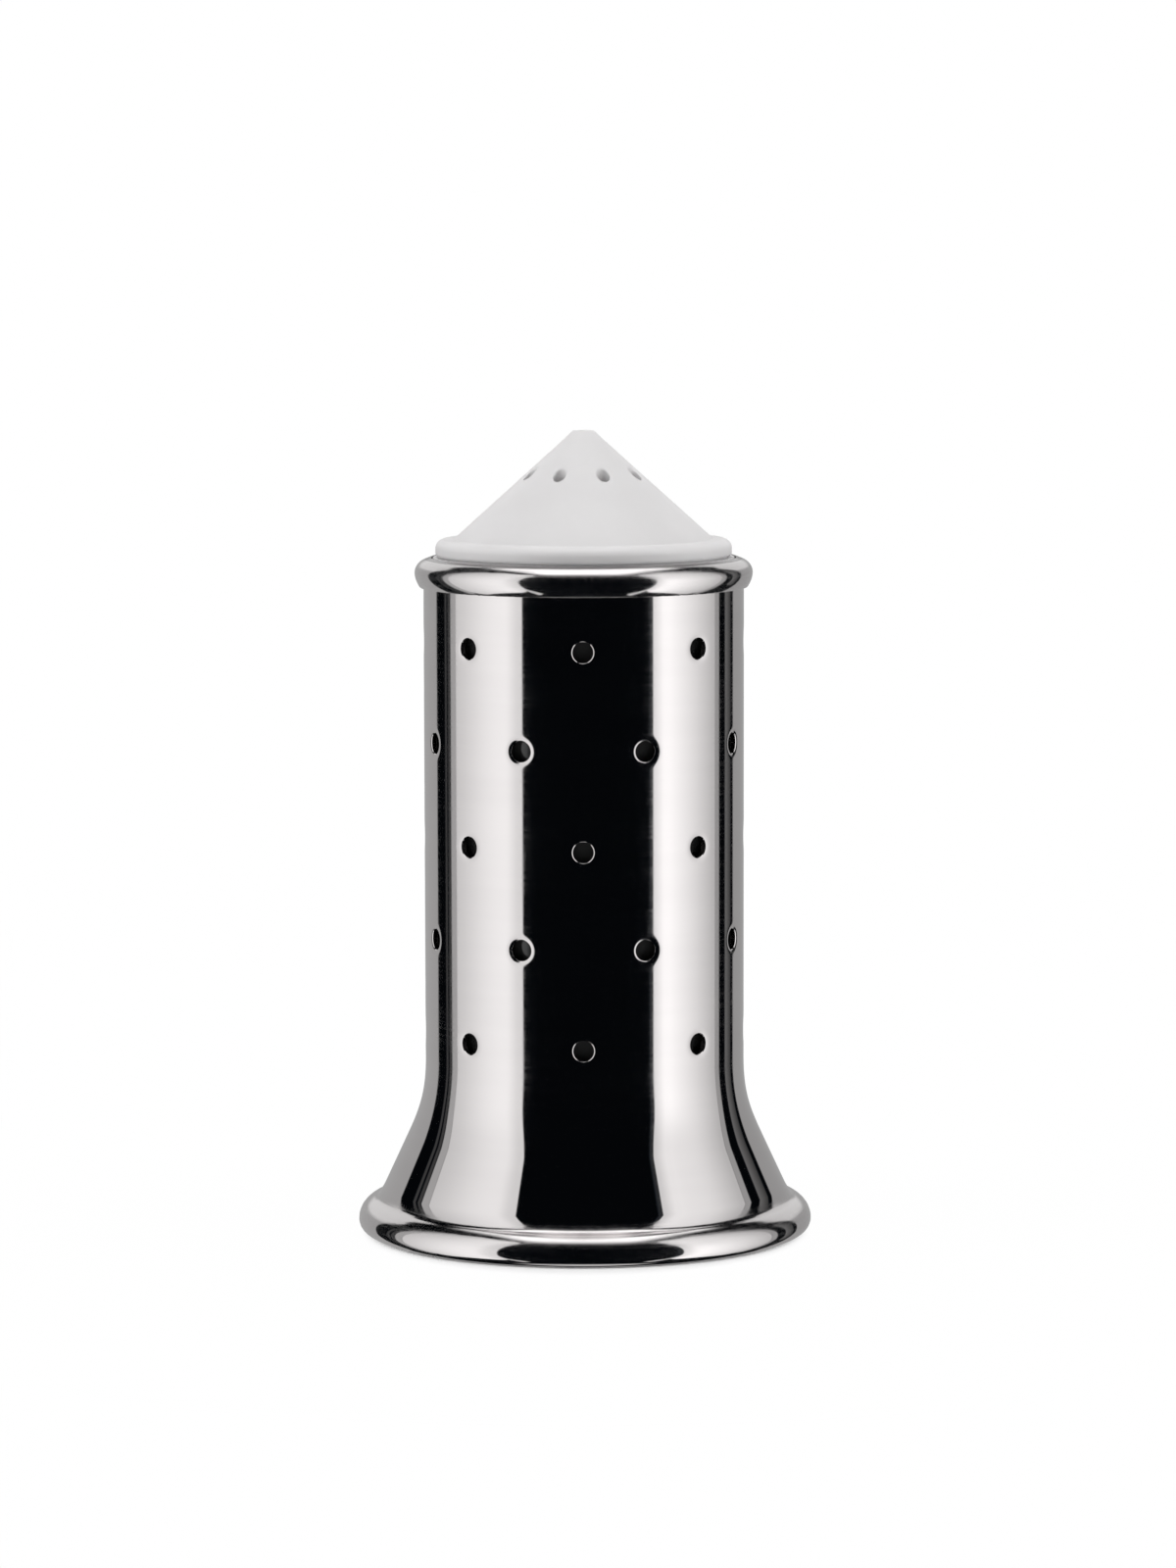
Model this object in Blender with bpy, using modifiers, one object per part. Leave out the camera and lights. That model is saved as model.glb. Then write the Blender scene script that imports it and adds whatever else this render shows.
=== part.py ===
"""Salt shaker: perforated polished-steel sleeve with a flared foot, a rolled steel collar,
a dark plastic salt container inside, and a white cone cap that screws into the container.

Metres, +Z up, origin on the vertical axis at the surface the foot stands on.
"""

import math

import bmesh
import bpy
from mathutils import Matrix

MM = 0.001
STEPS = 48                      # facets round a turned piece

# Sleeve: drawn tube, flare and foot bead
TUBE_R = 19.9 * MM              # outside radius of the straight tube
WALL = 0.8 * MM                 # sheet thickness
SLEEVE_TOP = 81.2 * MM          # upper edge, hidden in the collar's groove
FLARE_START = 21.34 * MM        # where the inside of the tube begins to flare
FLARE_R = 21.4 * MM             # radius of the inside's bend, plus the wall
FLARE_ANGLE = math.radians(24.1)
FLARE_TOP = 21.826 * MM         # where the outside of the tube begins to flare
FLARE_BEND = 9.955 * MM         # length of wall over which it bends
FLARE_TILT = math.radians(24.77)
FLARE_EASE = 0.421              # how gently the bend starts and ends
FLARE_TURN = math.radians(0.034) / MM
FLARE_LENGTH = 18.262 * MM      # length of wall down to the crease above the bead
CREASE_R = 1.573 * MM
CREASE_TILT = math.radians(73.3)
BEAD_UP = 2.628 * MM            # radii of the foot bead above and below its widest point
BEAD_DOWN = 1.907 * MM
BEAD_LAST = math.radians(-33.0) # tilt where the edge that meets the table begins
FOOT_INNER = 26.5 * MM          # inner edge of the flat ring it stands on

# Side holes: five staggered rows of eight
HOLE_R = 1.33 * MM
HOLE_ROWS = 5
HOLE_COLUMNS = 8
HOLE_ROW_TOP = 73.9 * MM
HOLE_ROW_PITCH = 12.17 * MM

# Collar
COLLAR_R = 19.12 * MM           # centre of the bead's section
COLLAR_Z = 82.03 * MM
COLLAR_RHO = 1.9 * MM
GROOVE_IN = 18.88 * MM          # groove that takes the sleeve's upper edge
GROOVE_OUT = 20.2 * MM
GROOVE_TOP = 81.5 * MM
LEDGE_Z = 82.2 * MM             # ledge the container hangs on
LEDGE_OUT = 19.0 * MM
SHOULDER_START = 19.8 * MM      # the bead's inner shoulder slopes up from here to the ledge
SHOULDER_RISE = 0.28 * MM
SPIGOT_IN = 18.48 * MM
SPIGOT_BOTTOM = 78.5 * MM

# Container
CONT_OUT = 18.35 * MM
CONT_IN = 16.85 * MM
CONT_RIM = 18.82 * MM           # flange on the collar's ledge
CONT_RIM_Z = 82.5 * MM
CONT_TOP = 83.2 * MM
NECK_IN = 15.3 * MM
NECK_Z = 74.0 * MM
CONT_BOTTOM = 9.2 * MM
CONT_FLOOR = 10.7 * MM
BOSS_R = 3.6 * MM
BOSS_BOTTOM = 6.5 * MM
BOSS_TOP = 14.2 * MM
PILOT_R = 1.45 * MM
PILOT_TOP = 12.6 * MM

# Thread between cap and container
PITCH = 4.0 * MM
NECK_CREST = 14.5 * MM
CAP_CREST = 15.0 * MM
RIDGE_BASE = 0.8 * MM           # half widths of the ridge's section
RIDGE_TIP = 0.35 * MM
NECK_THREAD_Z = 78.0 * MM
NECK_THREAD_TURNS = 1.1
CAP_THREAD_Z = 76.7 * MM
CAP_THREAD_TURNS = 1.0

# Cap
CAP_TOP = 99.91 * MM
TIP_R = 1.17 * MM
TIP_ROUND_R = 0.35 * MM
TIP_ROUND_Z = 0.25 * MM
CONE_RATIO = 1.108              # radius gained per height lost
CAP_WALL = 2.0 * MM
FLANGE_R = 17.18 * MM           # centre of the flange's rounded edge
FLANGE_Z = 85.38 * MM
FLANGE_A = 1.225 * MM
FLANGE_B = 1.135 * MM
SKIRT_OUT = 14.1 * MM
SKIRT_IN = 12.5 * MM
SKIRT_BOTTOM = 75.8 * MM
SALT_HOLES = 8
SALT_HOLE_R = 0.8 * MM
SALT_HOLE_RING = 6.97 * MM
CAP_CLOCK = math.radians(-1.86) # where the cap's thread comes to rest

# Seal ring
SEAL_IN = 14.4 * MM
SEAL_OUT = 17.7 * MM
SEAL_LOW = 83.45 * MM
SEAL_HIGH = 84.0 * MM

# Base disc and its screw
DISC_LOW = 1.4 * MM
DISC_FACE = 2.0 * MM
DISC_TOP = 4.0 * MM
DISC_GAP = 0.33 * MM
HUB_R = 5.0 * MM
HUB_TOP = 6.2 * MM
BORE_R = 1.5 * MM
COUNTERBORE_R = 3.4 * MM
COUNTERBORE_TOP = 3.7 * MM
SCREW_HEAD_R = 2.8 * MM
SCREW_HEAD_LOW = 2.1 * MM
SCREW_HEAD_TOP = 3.4 * MM
SCREW_R = 1.15 * MM
SCREW_TIP = 12.0 * MM
SLOT_LENGTH = 3.4 * MM
SLOT_WIDTH = 0.8 * MM
SLOT_DEPTH = 0.7 * MM


def clear_scene():
    for obj in list(bpy.data.objects):
        bpy.data.objects.remove(obj, do_unlink=True)
    for mesh in list(bpy.data.meshes):
        bpy.data.meshes.remove(mesh)


def collection(name):
    coll = bpy.data.collections.new(name)
    bpy.context.scene.collection.children.link(coll)
    return coll


def material(name, colour, roughness, metallic):
    mat = bpy.data.materials.new(name)
    mat.use_nodes = True
    shader = mat.node_tree.nodes["Principled BSDF"]
    shader.inputs["Base Color"].default_value = (*colour, 1.0)
    shader.inputs["Roughness"].default_value = roughness
    shader.inputs["Metallic"].default_value = metallic
    return mat


def arc(cr, cz, a, b, start, end, count):
    """Points on an ellipse in the profile plane; angles from the top, clockwise outwards."""
    out = []
    for i in range(count + 1):
        t = start + (end - start) * i / count
        out.append((cr + a * math.sin(t), cz + b * math.cos(t)))
    return out


def screw_modifier(obj, steps, turns=1.0, pitch=0.0):
    mod = obj.modifiers.new("turn", "SCREW")
    mod.axis = "Z"
    mod.angle = 2.0 * math.pi * turns
    mod.screw_offset = pitch * turns
    mod.steps = steps
    mod.render_steps = steps
    mod.use_smooth_shade = True
    mod.use_merge_vertices = pitch == 0.0
    mod.merge_threshold = 0.000001
    mod.use_normal_calculate = False
    return mod


def profile_object(name, points, closed, coll, clock=0.0):
    mesh = bpy.data.meshes.new(name)
    bm = bmesh.new()
    turn = Matrix.Rotation(clock, 4, "Z")
    verts = [bm.verts.new(turn @ Matrix.Translation((r, 0.0, z)).translation) for r, z in points]
    for a, b in zip(verts[:-1], verts[1:]):
        bm.edges.new((a, b))
    if closed:
        bm.edges.new((verts[-1], verts[0]))
    bm.to_mesh(mesh)
    bm.free()
    obj = bpy.data.objects.new(name, mesh)
    coll.objects.link(obj)
    return obj


def turned(name, points, coll, mat, closed=True, steps=STEPS):
    """Turned piece: a section at +X, listed down its outer side, swept round Z."""
    obj = profile_object(name, points, closed, coll)
    obj.data.materials.append(mat)
    screw_modifier(obj, steps)
    return obj


def as_cutter(obj):
    obj.hide_render = True
    obj.display_type = "WIRE"
    return obj


def helix_ridge(name, root_r, crest_r, z, turns, coll, clock):
    """Right-hand thread ridge: a trapezium swept along a helix, closed at both ends."""
    if crest_r > root_r:
        section = [(root_r, z + RIDGE_BASE), (crest_r, z + RIDGE_TIP),
                   (crest_r, z - RIDGE_TIP), (root_r, z - RIDGE_BASE)]
    else:
        section = [(crest_r, z + RIDGE_TIP), (root_r, z + RIDGE_BASE),
                   (root_r, z - RIDGE_BASE), (crest_r, z - RIDGE_TIP)]
    swept = profile_object(name + "_sweep", section, True, coll, clock)
    screw_modifier(swept, int(36 * turns), turns, PITCH)
    bpy.context.view_layer.update()
    depsgraph = bpy.context.evaluated_depsgraph_get()
    mesh = bpy.data.meshes.new_from_object(swept.evaluated_get(depsgraph))
    bm = bmesh.new()
    bm.from_mesh(mesh)
    bmesh.ops.remove_doubles(bm, verts=bm.verts, dist=0.000001)
    bmesh.ops.holes_fill(bm, edges=[e for e in bm.edges if e.is_boundary], sides=0)
    bmesh.ops.recalc_face_normals(bm, faces=bm.faces)
    bm.to_mesh(mesh)
    bm.free()
    ridge = bpy.data.objects.new(name, mesh)
    coll.objects.link(ridge)
    bpy.data.objects.remove(swept, do_unlink=True)
    return as_cutter(ridge)


def drills(name, placements, radius, length, sides, coll):
    """One object of separate round cutters, each placed by a matrix."""
    mesh = bpy.data.meshes.new(name)
    bm = bmesh.new()
    for place in placements:
        bmesh.ops.create_cone(bm, cap_ends=True, segments=sides, radius1=radius,
                              radius2=radius, depth=length, matrix=place)
    bm.to_mesh(mesh)
    bm.free()
    obj = bpy.data.objects.new(name, mesh)
    coll.objects.link(obj)
    return as_cutter(obj)


def boolean(obj, other, operation):
    mod = obj.modifiers.new(operation.lower(), "BOOLEAN")
    mod.operation = operation
    mod.solver = "EXACT"
    mod.object = other


def smooth(obj):
    obj.data.shade_smooth()
    obj.data.set_sharp_from_angle(angle=math.radians(35.0))


# Section lines shared by the foot's pieces --------------------------------------------

def flare_points(offset, count):
    """Bend of the flare, on a surface offset inwards from the outside."""
    centre = TUBE_R + FLARE_R
    rho = FLARE_R + offset
    pts = []
    for i in range(count + 1):
        t = FLARE_ANGLE * i / count
        pts.append((centre - rho * math.cos(t), FLARE_START - rho * math.sin(t)))
    return pts


def flare_line(offset, z):
    """Radius of the flare's straight part at a height."""
    r0, z0 = flare_points(offset, 1)[-1]
    return r0 + (z0 - z) * math.tan(FLARE_ANGLE)


def turn_arc(pts, tilt, goal, radius, count):
    """Goes on from the last point until the wall's normal is tilted as wanted."""
    r, z = pts[-1]
    side = 1.0 if goal > tilt else -1.0
    for i in range(1, count + 1):
        n = tilt + (goal - tilt) * i / count
        pts.append((r + side * radius * (math.cos(tilt) - math.cos(n)),
                    z - side * radius * (math.sin(n) - math.sin(tilt))))


def foot_curve():
    """Outside of the flare and foot, walked along the wall by its tilt."""
    def tilt(s):
        k = min(s / FLARE_BEND, 1.0)
        ease = k - FLARE_EASE * math.sin(2.0 * math.pi * k) / (2.0 * math.pi)
        return FLARE_TILT * ease + FLARE_TURN * max(s - FLARE_BEND, 0.0)

    per, rows = 100, 8
    step = FLARE_LENGTH / (per * rows)
    r, z = TUBE_R, FLARE_TOP
    pts = []
    for i in range(per * rows):
        n = tilt((i + 0.5) * step)
        r, z = r + math.sin(n) * step, z - math.cos(n) * step
        if (i + 1) % per == 0:
            pts.append((r, z))
    turn_arc(pts, tilt(FLARE_LENGTH), CREASE_TILT, CREASE_R, 3)
    turn_arc(pts, CREASE_TILT, 0.0, BEAD_UP, 5)
    turn_arc(pts, 0.0, BEAD_LAST, BEAD_DOWN, 2)
    turn_arc(pts, BEAD_LAST, -math.pi / 2.0, pts[-1][1] / (1.0 + math.sin(BEAD_LAST)), 3)
    pts[-1] = (pts[-1][0], 0.0)
    # facets stay just outside the true curve
    grow = 1.0006 / math.cos(math.pi / STEPS)
    return [(r * grow, z) for r, z in pts]


# Pieces -------------------------------------------------------------------------------

def make_sleeve(coll, tools, mat):
    outer = [(TUBE_R, SLEEVE_TOP), (TUBE_R, FLARE_TOP)] + foot_curve()
    inner = [(FOOT_INNER, 0.0), (flare_line(WALL, 0.5 * MM), 0.5 * MM)]
    inner += list(reversed(flare_points(WALL, 5)))
    inner.append((TUBE_R - WALL, SLEEVE_TOP))
    sleeve = turned("sleeve", outer + inner, coll, mat)
    # turn the facets so that each column of holes lies on the middle of a facet
    sleeve.rotation_euler.z = math.pi / STEPS
    places = []
    for row in range(HOLE_ROWS):
        z = HOLE_ROW_TOP - row * HOLE_ROW_PITCH
        for col in range(HOLE_COLUMNS):
            a = 2.0 * math.pi * (col + 0.5 * (row % 2)) / HOLE_COLUMNS
            places.append(Matrix.Rotation(a, 4, "Z") @ Matrix.Translation((0.0, -TUBE_R, z))
                          @ Matrix.Rotation(math.pi / 2.0, 4, "X"))
    cutter = drills("side_hole_drills", places, HOLE_R, 4.0 * MM, 12, tools)
    boolean(sleeve, cutter, "DIFFERENCE")
    smooth(sleeve)
    return sleeve


def make_collar(coll, mat):
    low = math.pi - math.asin((GROOVE_OUT - COLLAR_R) / COLLAR_RHO)
    top = math.asin((SHOULDER_START - COLLAR_R) / COLLAR_RHO)
    section = arc(COLLAR_R, COLLAR_Z, COLLAR_RHO, COLLAR_RHO, top, low, 10)
    section = [(LEDGE_OUT, section[0][1] + 0.1 * MM + SHOULDER_RISE)] + section
    section += [(GROOVE_OUT, GROOVE_TOP), (GROOVE_IN, GROOVE_TOP), (GROOVE_IN, SPIGOT_BOTTOM),
                (SPIGOT_IN, SPIGOT_BOTTOM), (SPIGOT_IN, LEDGE_Z), (LEDGE_OUT, LEDGE_Z)]
    collar = turned("collar", section, coll, mat)
    smooth(collar)
    return collar


def make_container(coll, tools, mat):
    section = [(CONT_RIM, CONT_TOP), (CONT_RIM, CONT_RIM_Z), (CONT_OUT, CONT_RIM_Z)]
    section += arc(CONT_OUT - 2.0 * MM, CONT_BOTTOM + 2.0 * MM, 2.0 * MM, 2.0 * MM,
                   math.radians(90), math.radians(180), 3)
    section += [(BOSS_R, CONT_BOTTOM), (BOSS_R, BOSS_BOTTOM), (PILOT_R, BOSS_BOTTOM),
                (PILOT_R, PILOT_TOP), (0.0, PILOT_TOP + 0.6 * MM)]
    section += [(0.0, BOSS_TOP), (BOSS_R - 0.6 * MM, BOSS_TOP), (BOSS_R, CONT_FLOOR),
                (CONT_IN - 1.5 * MM, CONT_FLOOR), (CONT_IN - 0.4 * MM, CONT_FLOOR + 0.4 * MM),
                (CONT_IN, CONT_FLOOR + 1.5 * MM),
                (CONT_IN, NECK_Z), (NECK_IN, NECK_Z + 0.8 * MM), (NECK_IN, CONT_TOP)]
    container = turned("container", section, coll, mat)
    # the section runs through the axis between the pilot hole and the inner boss
    bm = bmesh.new()
    bm.from_mesh(container.data)
    axis = [e for e in bm.edges if all(v.co.x < 1e-9 for v in e.verts)]
    bmesh.ops.delete(bm, geom=axis, context="EDGES")
    bm.to_mesh(container.data)
    bm.free()
    ridge = helix_ridge("neck_thread", NECK_IN + 0.2 * MM, NECK_CREST, NECK_THREAD_Z,
                        NECK_THREAD_TURNS, tools, 0.03)
    boolean(container, ridge, "UNION")
    smooth(container)
    return container


def make_cap(coll, tools, mat, parent):
    cone_top = CAP_TOP - TIP_ROUND_Z
    slant = math.sqrt(1.0 + CONE_RATIO ** 2)

    def cone_r(z, inset=0.0):
        return TIP_R + TIP_ROUND_R + (cone_top - z) * CONE_RATIO - inset * slant

    def cone_z(r, inset=0.0):
        return cone_top - (r - TIP_R - TIP_ROUND_R + inset * slant) / CONE_RATIO

    flange_top = FLANGE_Z + FLANGE_B
    section = [(0.0, CAP_TOP), (TIP_R, CAP_TOP), (TIP_R + 0.22 * MM, CAP_TOP - 0.08 * MM)]
    section += [(cone_r(cone_top), cone_top), (cone_r(flange_top + 0.15 * MM), flange_top + 0.15 * MM)]
    section += [(cone_r(flange_top) + 0.25 * MM, flange_top)]
    section += arc(FLANGE_R, FLANGE_Z, FLANGE_A, FLANGE_B, 0.0, math.pi, 8)
    section += [(SKIRT_OUT, FLANGE_Z - FLANGE_B), (SKIRT_OUT, SKIRT_BOTTOM),
                (SKIRT_IN, SKIRT_BOTTOM), (SKIRT_IN, cone_z(SKIRT_IN, CAP_WALL)),
                (0.9 * MM, cone_z(0.9 * MM, CAP_WALL)), (0.0, cone_z(0.6 * MM, CAP_WALL))]
    cap = turned("cap", section, coll, mat, closed=False)
    ridge = helix_ridge("cap_thread", SKIRT_OUT - 0.2 * MM, CAP_CREST, CAP_THREAD_Z,
                        CAP_THREAD_TURNS, tools, 0.03)
    boolean(cap, ridge, "UNION")
    places = []
    for i in range(SALT_HOLES):
        a = CAP_CLOCK + 2.0 * math.pi * (i + 0.5) / SALT_HOLES
        places.append(Matrix.Rotation(a, 4, "Z")
                      @ Matrix.Translation((0.0, -SALT_HOLE_RING, 93.0 * MM)))
    cutter = drills("salt_hole_drills", places, SALT_HOLE_R, 8.0 * MM, 10, tools)
    boolean(cap, cutter, "DIFFERENCE")
    smooth(cap)
    cap.parent = parent
    return cap


def make_seal_ring(coll, mat, parent):
    section = [(SEAL_OUT, SEAL_HIGH), (SEAL_OUT, SEAL_LOW), (SEAL_IN, SEAL_LOW), (SEAL_IN, SEAL_HIGH)]
    ring = turned("seal_ring", section, coll, mat)
    smooth(ring)
    ring.parent = parent
    return ring


def make_base_disc(coll, mat):
    section = [(flare_line(WALL, DISC_TOP) - DISC_GAP, DISC_TOP),
               (flare_line(WALL, DISC_LOW) - DISC_GAP, DISC_LOW),
               (23.6 * MM, DISC_LOW), (23.0 * MM, DISC_FACE),
               (COUNTERBORE_R, DISC_FACE), (COUNTERBORE_R, COUNTERBORE_TOP),
               (BORE_R, COUNTERBORE_TOP), (BORE_R, HUB_TOP), (HUB_R, HUB_TOP),
               (HUB_R + 0.8 * MM, DISC_TOP)]
    disc = turned("base_disc", section, coll, mat)
    smooth(disc)
    return disc


def make_base_screw(coll, tools, mat):
    section = [(0.0, SCREW_TIP), (0.4 * MM, SCREW_TIP), (SCREW_R, SCREW_TIP - 1.4 * MM),
               (SCREW_R, SCREW_HEAD_TOP), (SCREW_HEAD_R, SCREW_HEAD_TOP),
               (SCREW_HEAD_R, SCREW_HEAD_LOW + 0.5 * MM), (SCREW_HEAD_R - 0.5 * MM, SCREW_HEAD_LOW),
               (0.0, SCREW_HEAD_LOW)]
    screw = turned("base_screw", section, coll, mat, closed=False, steps=24)
    mesh = bpy.data.meshes.new("drive_slot_tool")
    bm = bmesh.new()
    for turn in (0.0, math.pi / 2.0):
        bmesh.ops.create_cube(bm, size=1.0, matrix=Matrix.Rotation(turn, 4, "Z")
                              @ Matrix.Translation((0.0, 0.0, SCREW_HEAD_LOW))
                              @ Matrix.Diagonal((SLOT_LENGTH, SLOT_WIDTH, 2.0 * SLOT_DEPTH, 1.0)))
    bm.to_mesh(mesh)
    bm.free()
    slot = bpy.data.objects.new("drive_slot_tool", mesh)
    tools.objects.link(slot)
    as_cutter(slot)
    mod_self = screw.modifiers.new("cross recess", "BOOLEAN")
    mod_self.operation = "DIFFERENCE"
    mod_self.solver = "EXACT"
    mod_self.use_self = True
    mod_self.object = slot
    smooth(screw)
    return screw


def main():
    clear_scene()
    parts = collection("salt_shaker")
    tools = collection("cutters")

    steel = material("polished_steel", (0.80, 0.80, 0.80), 0.06, 1.0)
    rim_steel = material("collar_steel", (0.80, 0.80, 0.80), 0.06, 1.0)
    screw_steel = material("screw_steel", (0.60, 0.60, 0.60), 0.30, 1.0)
    white = material("white_plastic", (0.80, 0.80, 0.80), 0.45, 0.0)
    dark = material("dark_plastic", (0.02, 0.02, 0.02), 0.45, 0.0)
    base = material("base_plastic", (0.02, 0.02, 0.02), 0.50, 0.0)
    rubber = material("seal_rubber", (0.65, 0.65, 0.63), 0.60, 0.0)

    # the cap and its seal rise and turn about this axis
    axis = bpy.data.objects.new("cap_axis", None)
    axis.empty_display_size = 0.01
    parts.objects.link(axis)

    make_sleeve(parts, tools, steel)
    make_collar(parts, rim_steel)
    make_container(parts, tools, dark)
    make_cap(parts, tools, white, axis)
    make_seal_ring(parts, rubber, axis)
    make_base_disc(parts, base)
    make_base_screw(parts, tools, screw_steel)
    bpy.context.view_layer.update()


main()
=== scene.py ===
"""Looks of the salt shaker: polished perforated steel, white plastic cone, dark container."""

import math

import bmesh
import bpy
import numpy as np
from mathutils import Matrix, Vector


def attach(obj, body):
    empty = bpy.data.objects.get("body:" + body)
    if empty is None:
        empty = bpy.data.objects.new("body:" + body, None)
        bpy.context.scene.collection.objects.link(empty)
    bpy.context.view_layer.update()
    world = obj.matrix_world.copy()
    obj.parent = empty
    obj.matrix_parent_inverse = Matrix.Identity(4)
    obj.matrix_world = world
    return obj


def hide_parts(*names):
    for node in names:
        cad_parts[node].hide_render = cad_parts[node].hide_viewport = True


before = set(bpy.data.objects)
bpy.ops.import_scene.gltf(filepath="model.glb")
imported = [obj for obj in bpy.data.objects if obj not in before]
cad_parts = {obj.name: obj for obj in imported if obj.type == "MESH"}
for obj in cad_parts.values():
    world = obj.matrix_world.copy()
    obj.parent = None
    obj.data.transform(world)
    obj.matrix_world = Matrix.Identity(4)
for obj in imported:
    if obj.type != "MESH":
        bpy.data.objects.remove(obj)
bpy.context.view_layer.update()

MM = 0.001

# ---------------------------------------------------------------------------- sizes, in mm
TUBE_R, WALL, SLEEVE_TOP = 19.9, 0.8, 81.2
FLARE_START, FLARE_R, FLARE_ANGLE = 21.34, 21.4, math.radians(24.1)   # inside of the flare
# outside of the flare: where it starts, how long it bends, its tilt, and how gently it eases in
FLARE_TOP, FLARE_BEND, FLARE_TILT, FLARE_EASE = 21.826, 9.955, math.radians(24.77), 0.421
FLARE_TURN, FLARE_LENGTH = math.radians(0.034), 17.243
# the crease above the bead: a wide bend, then a tight one
WIDE_R, WIDE_TILT, CREASE_R, CREASE_TILT = 8.0, math.radians(36.0), 1.202, math.radians(73.3)
BEAD_UP, BEAD_DOWN, BEAD_LAST = 2.628, 1.55, math.radians(-33.0)
FOOT_INNER = 26.5
HOLE_R, HOLE_TOP, HOLE_PITCH = 1.29, 73.9, 12.17
RIM_WIDTH, RIM_ROUND, INNER_EDGE = 0.09, 0.035, 0.12   # bevel of a hole's outer rim, its roundings, inner rim
DISH_WIDTH, DISH_SLOPE = 1.0, math.radians(10.0)
COLLAR_R, COLLAR_Z = 20.991, 82.351     # widest point of the collar's bead
# radius of the bead's outline against the angle of its normal, in degrees
COLLAR_BEND = ((90.0, 60.0), (69.5, 60.0), (67.5, 1.90), (38.0, 1.90), (34.0, 1.60), (2.0, 1.60),
               (0.0, 2.01), (-30.0, 4.0), (-60.0, 10.0))
SHOULDER_IN = 18.92                    # where the bead's sloping shoulder ends inside
LIP_GAP, LIP_ROUND = 0.07, 0.24
CONT_OUT, CONT_IN, CONT_RIM, CONT_RIM_Z, CONT_TOP = 18.35, 16.85, 18.82, 82.5, 83.2
NECK_IN, NECK_Z, CONT_BOTTOM, CONT_FLOOR = 15.3, 74.0, 9.2, 10.7
BOSS_R, BOSS_BOTTOM, BOSS_TOP, PILOT_R, PILOT_TOP = 3.6, 6.5, 14.2, 1.45, 12.6
PITCH, NECK_CREST, CAP_CREST = 4.0, 14.5, 15.0
RIDGE_BASE, RIDGE_TIP = 0.8, 0.35
NECK_THREAD_Z, NECK_THREAD_TURNS = 78.0, 1.1
CAP_THREAD_Z, CAP_THREAD_TURNS = 76.7, 1.0
CAP_TOP, TIP_R, CONE_RATIO, CAP_WALL = 99.91, 1.17, 1.108, 2.0
CONE_TOP_R, CONE_TOP_Z = 1.52, 99.66
FLANGE_R, FLANGE_Z, FLANGE_A, FLANGE_B = 17.18, 85.38, 1.225, 1.135
FLANGE_LOW, STEP_R, STEP_LOW = 84.44, 17.98, 84.05   # underside of the flange's rim, and the step inside it
GUIDE_R, GUIDE_HIGH = 18.72, 84.24     # thin guide land below the rim, just inside the collar's mouth
SKIRT_OUT, SKIRT_IN, SKIRT_BOTTOM = 14.1, 12.5, 75.8
SALT_R, SALT_RING, CAP_CLOCK = 0.80, 6.97, math.radians(-1.86)
SEAL_IN, SEAL_OUT, SEAL_LOW, SEAL_HIGH = 14.4, 17.7, 83.45, 84.0
DISC_LOW, DISC_FACE, DISC_TOP, DISC_GAP = 1.4, 2.0, 4.0, 0.33
HUB_R, HUB_TOP, BORE_R, CBORE_R, CBORE_TOP = 5.0, 6.2, 1.5, 3.4, 3.7
HEAD_R, HEAD_LOW, HEAD_TOP, SCREW_R, SCREW_TIP = 2.8, 2.1, 3.4, 1.15, 12.0

ROUND = 96                             # divisions round the axis


# ------------------------------------------------------------------------------ mesh tools

class Builder:
    """Collects vertices with their own normals, and faces, then makes one mesh object."""

    def __init__(self):
        self.co, self.no, self.faces, self.keys = [], [], [], {}

    def vert(self, co, no, key=None):
        if key is not None and key in self.keys:
            return self.keys[key]
        self.co.append(co)
        self.no.append(no)
        if key is not None:
            self.keys[key] = len(self.co) - 1
        return len(self.co) - 1

    def strip(self, a, b, closed=True):
        n = len(a)
        for i in range(n if closed else n - 1):
            j = (i + 1) % n
            quad = [a[i], a[j], b[j], b[i]]
            face = [v for k, v in enumerate(quad) if v not in quad[:k]]
            if len(face) > 2:
                self.faces.append(face)

    def make(self, name, material, own_normals=True):
        mesh = bpy.data.meshes.new(name)
        mesh.from_pydata([(x * MM, y * MM, z * MM) for x, y, z in self.co], [], self.faces)
        mesh.update()
        mesh.shade_smooth()
        if own_normals:
            mesh.normals_split_custom_set_from_vertices(self.no)
        mesh.materials.append(material)
        mesh.validate()
        obj = bpy.data.objects.new(name, mesh)
        bpy.context.scene.collection.objects.link(obj)
        return obj


def polar(r, a, z):
    """A point at azimuth a, counted from -Y towards +X."""
    return (r * math.sin(a), -r * math.cos(a), z)


def line_normal(p, q):
    """Outward normal of a section's edge that is walked down its outer side."""
    dr, dz = q[0] - p[0], q[1] - p[1]
    length = math.hypot(dr, dz)
    return (-dz / length, dr / length)


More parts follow.
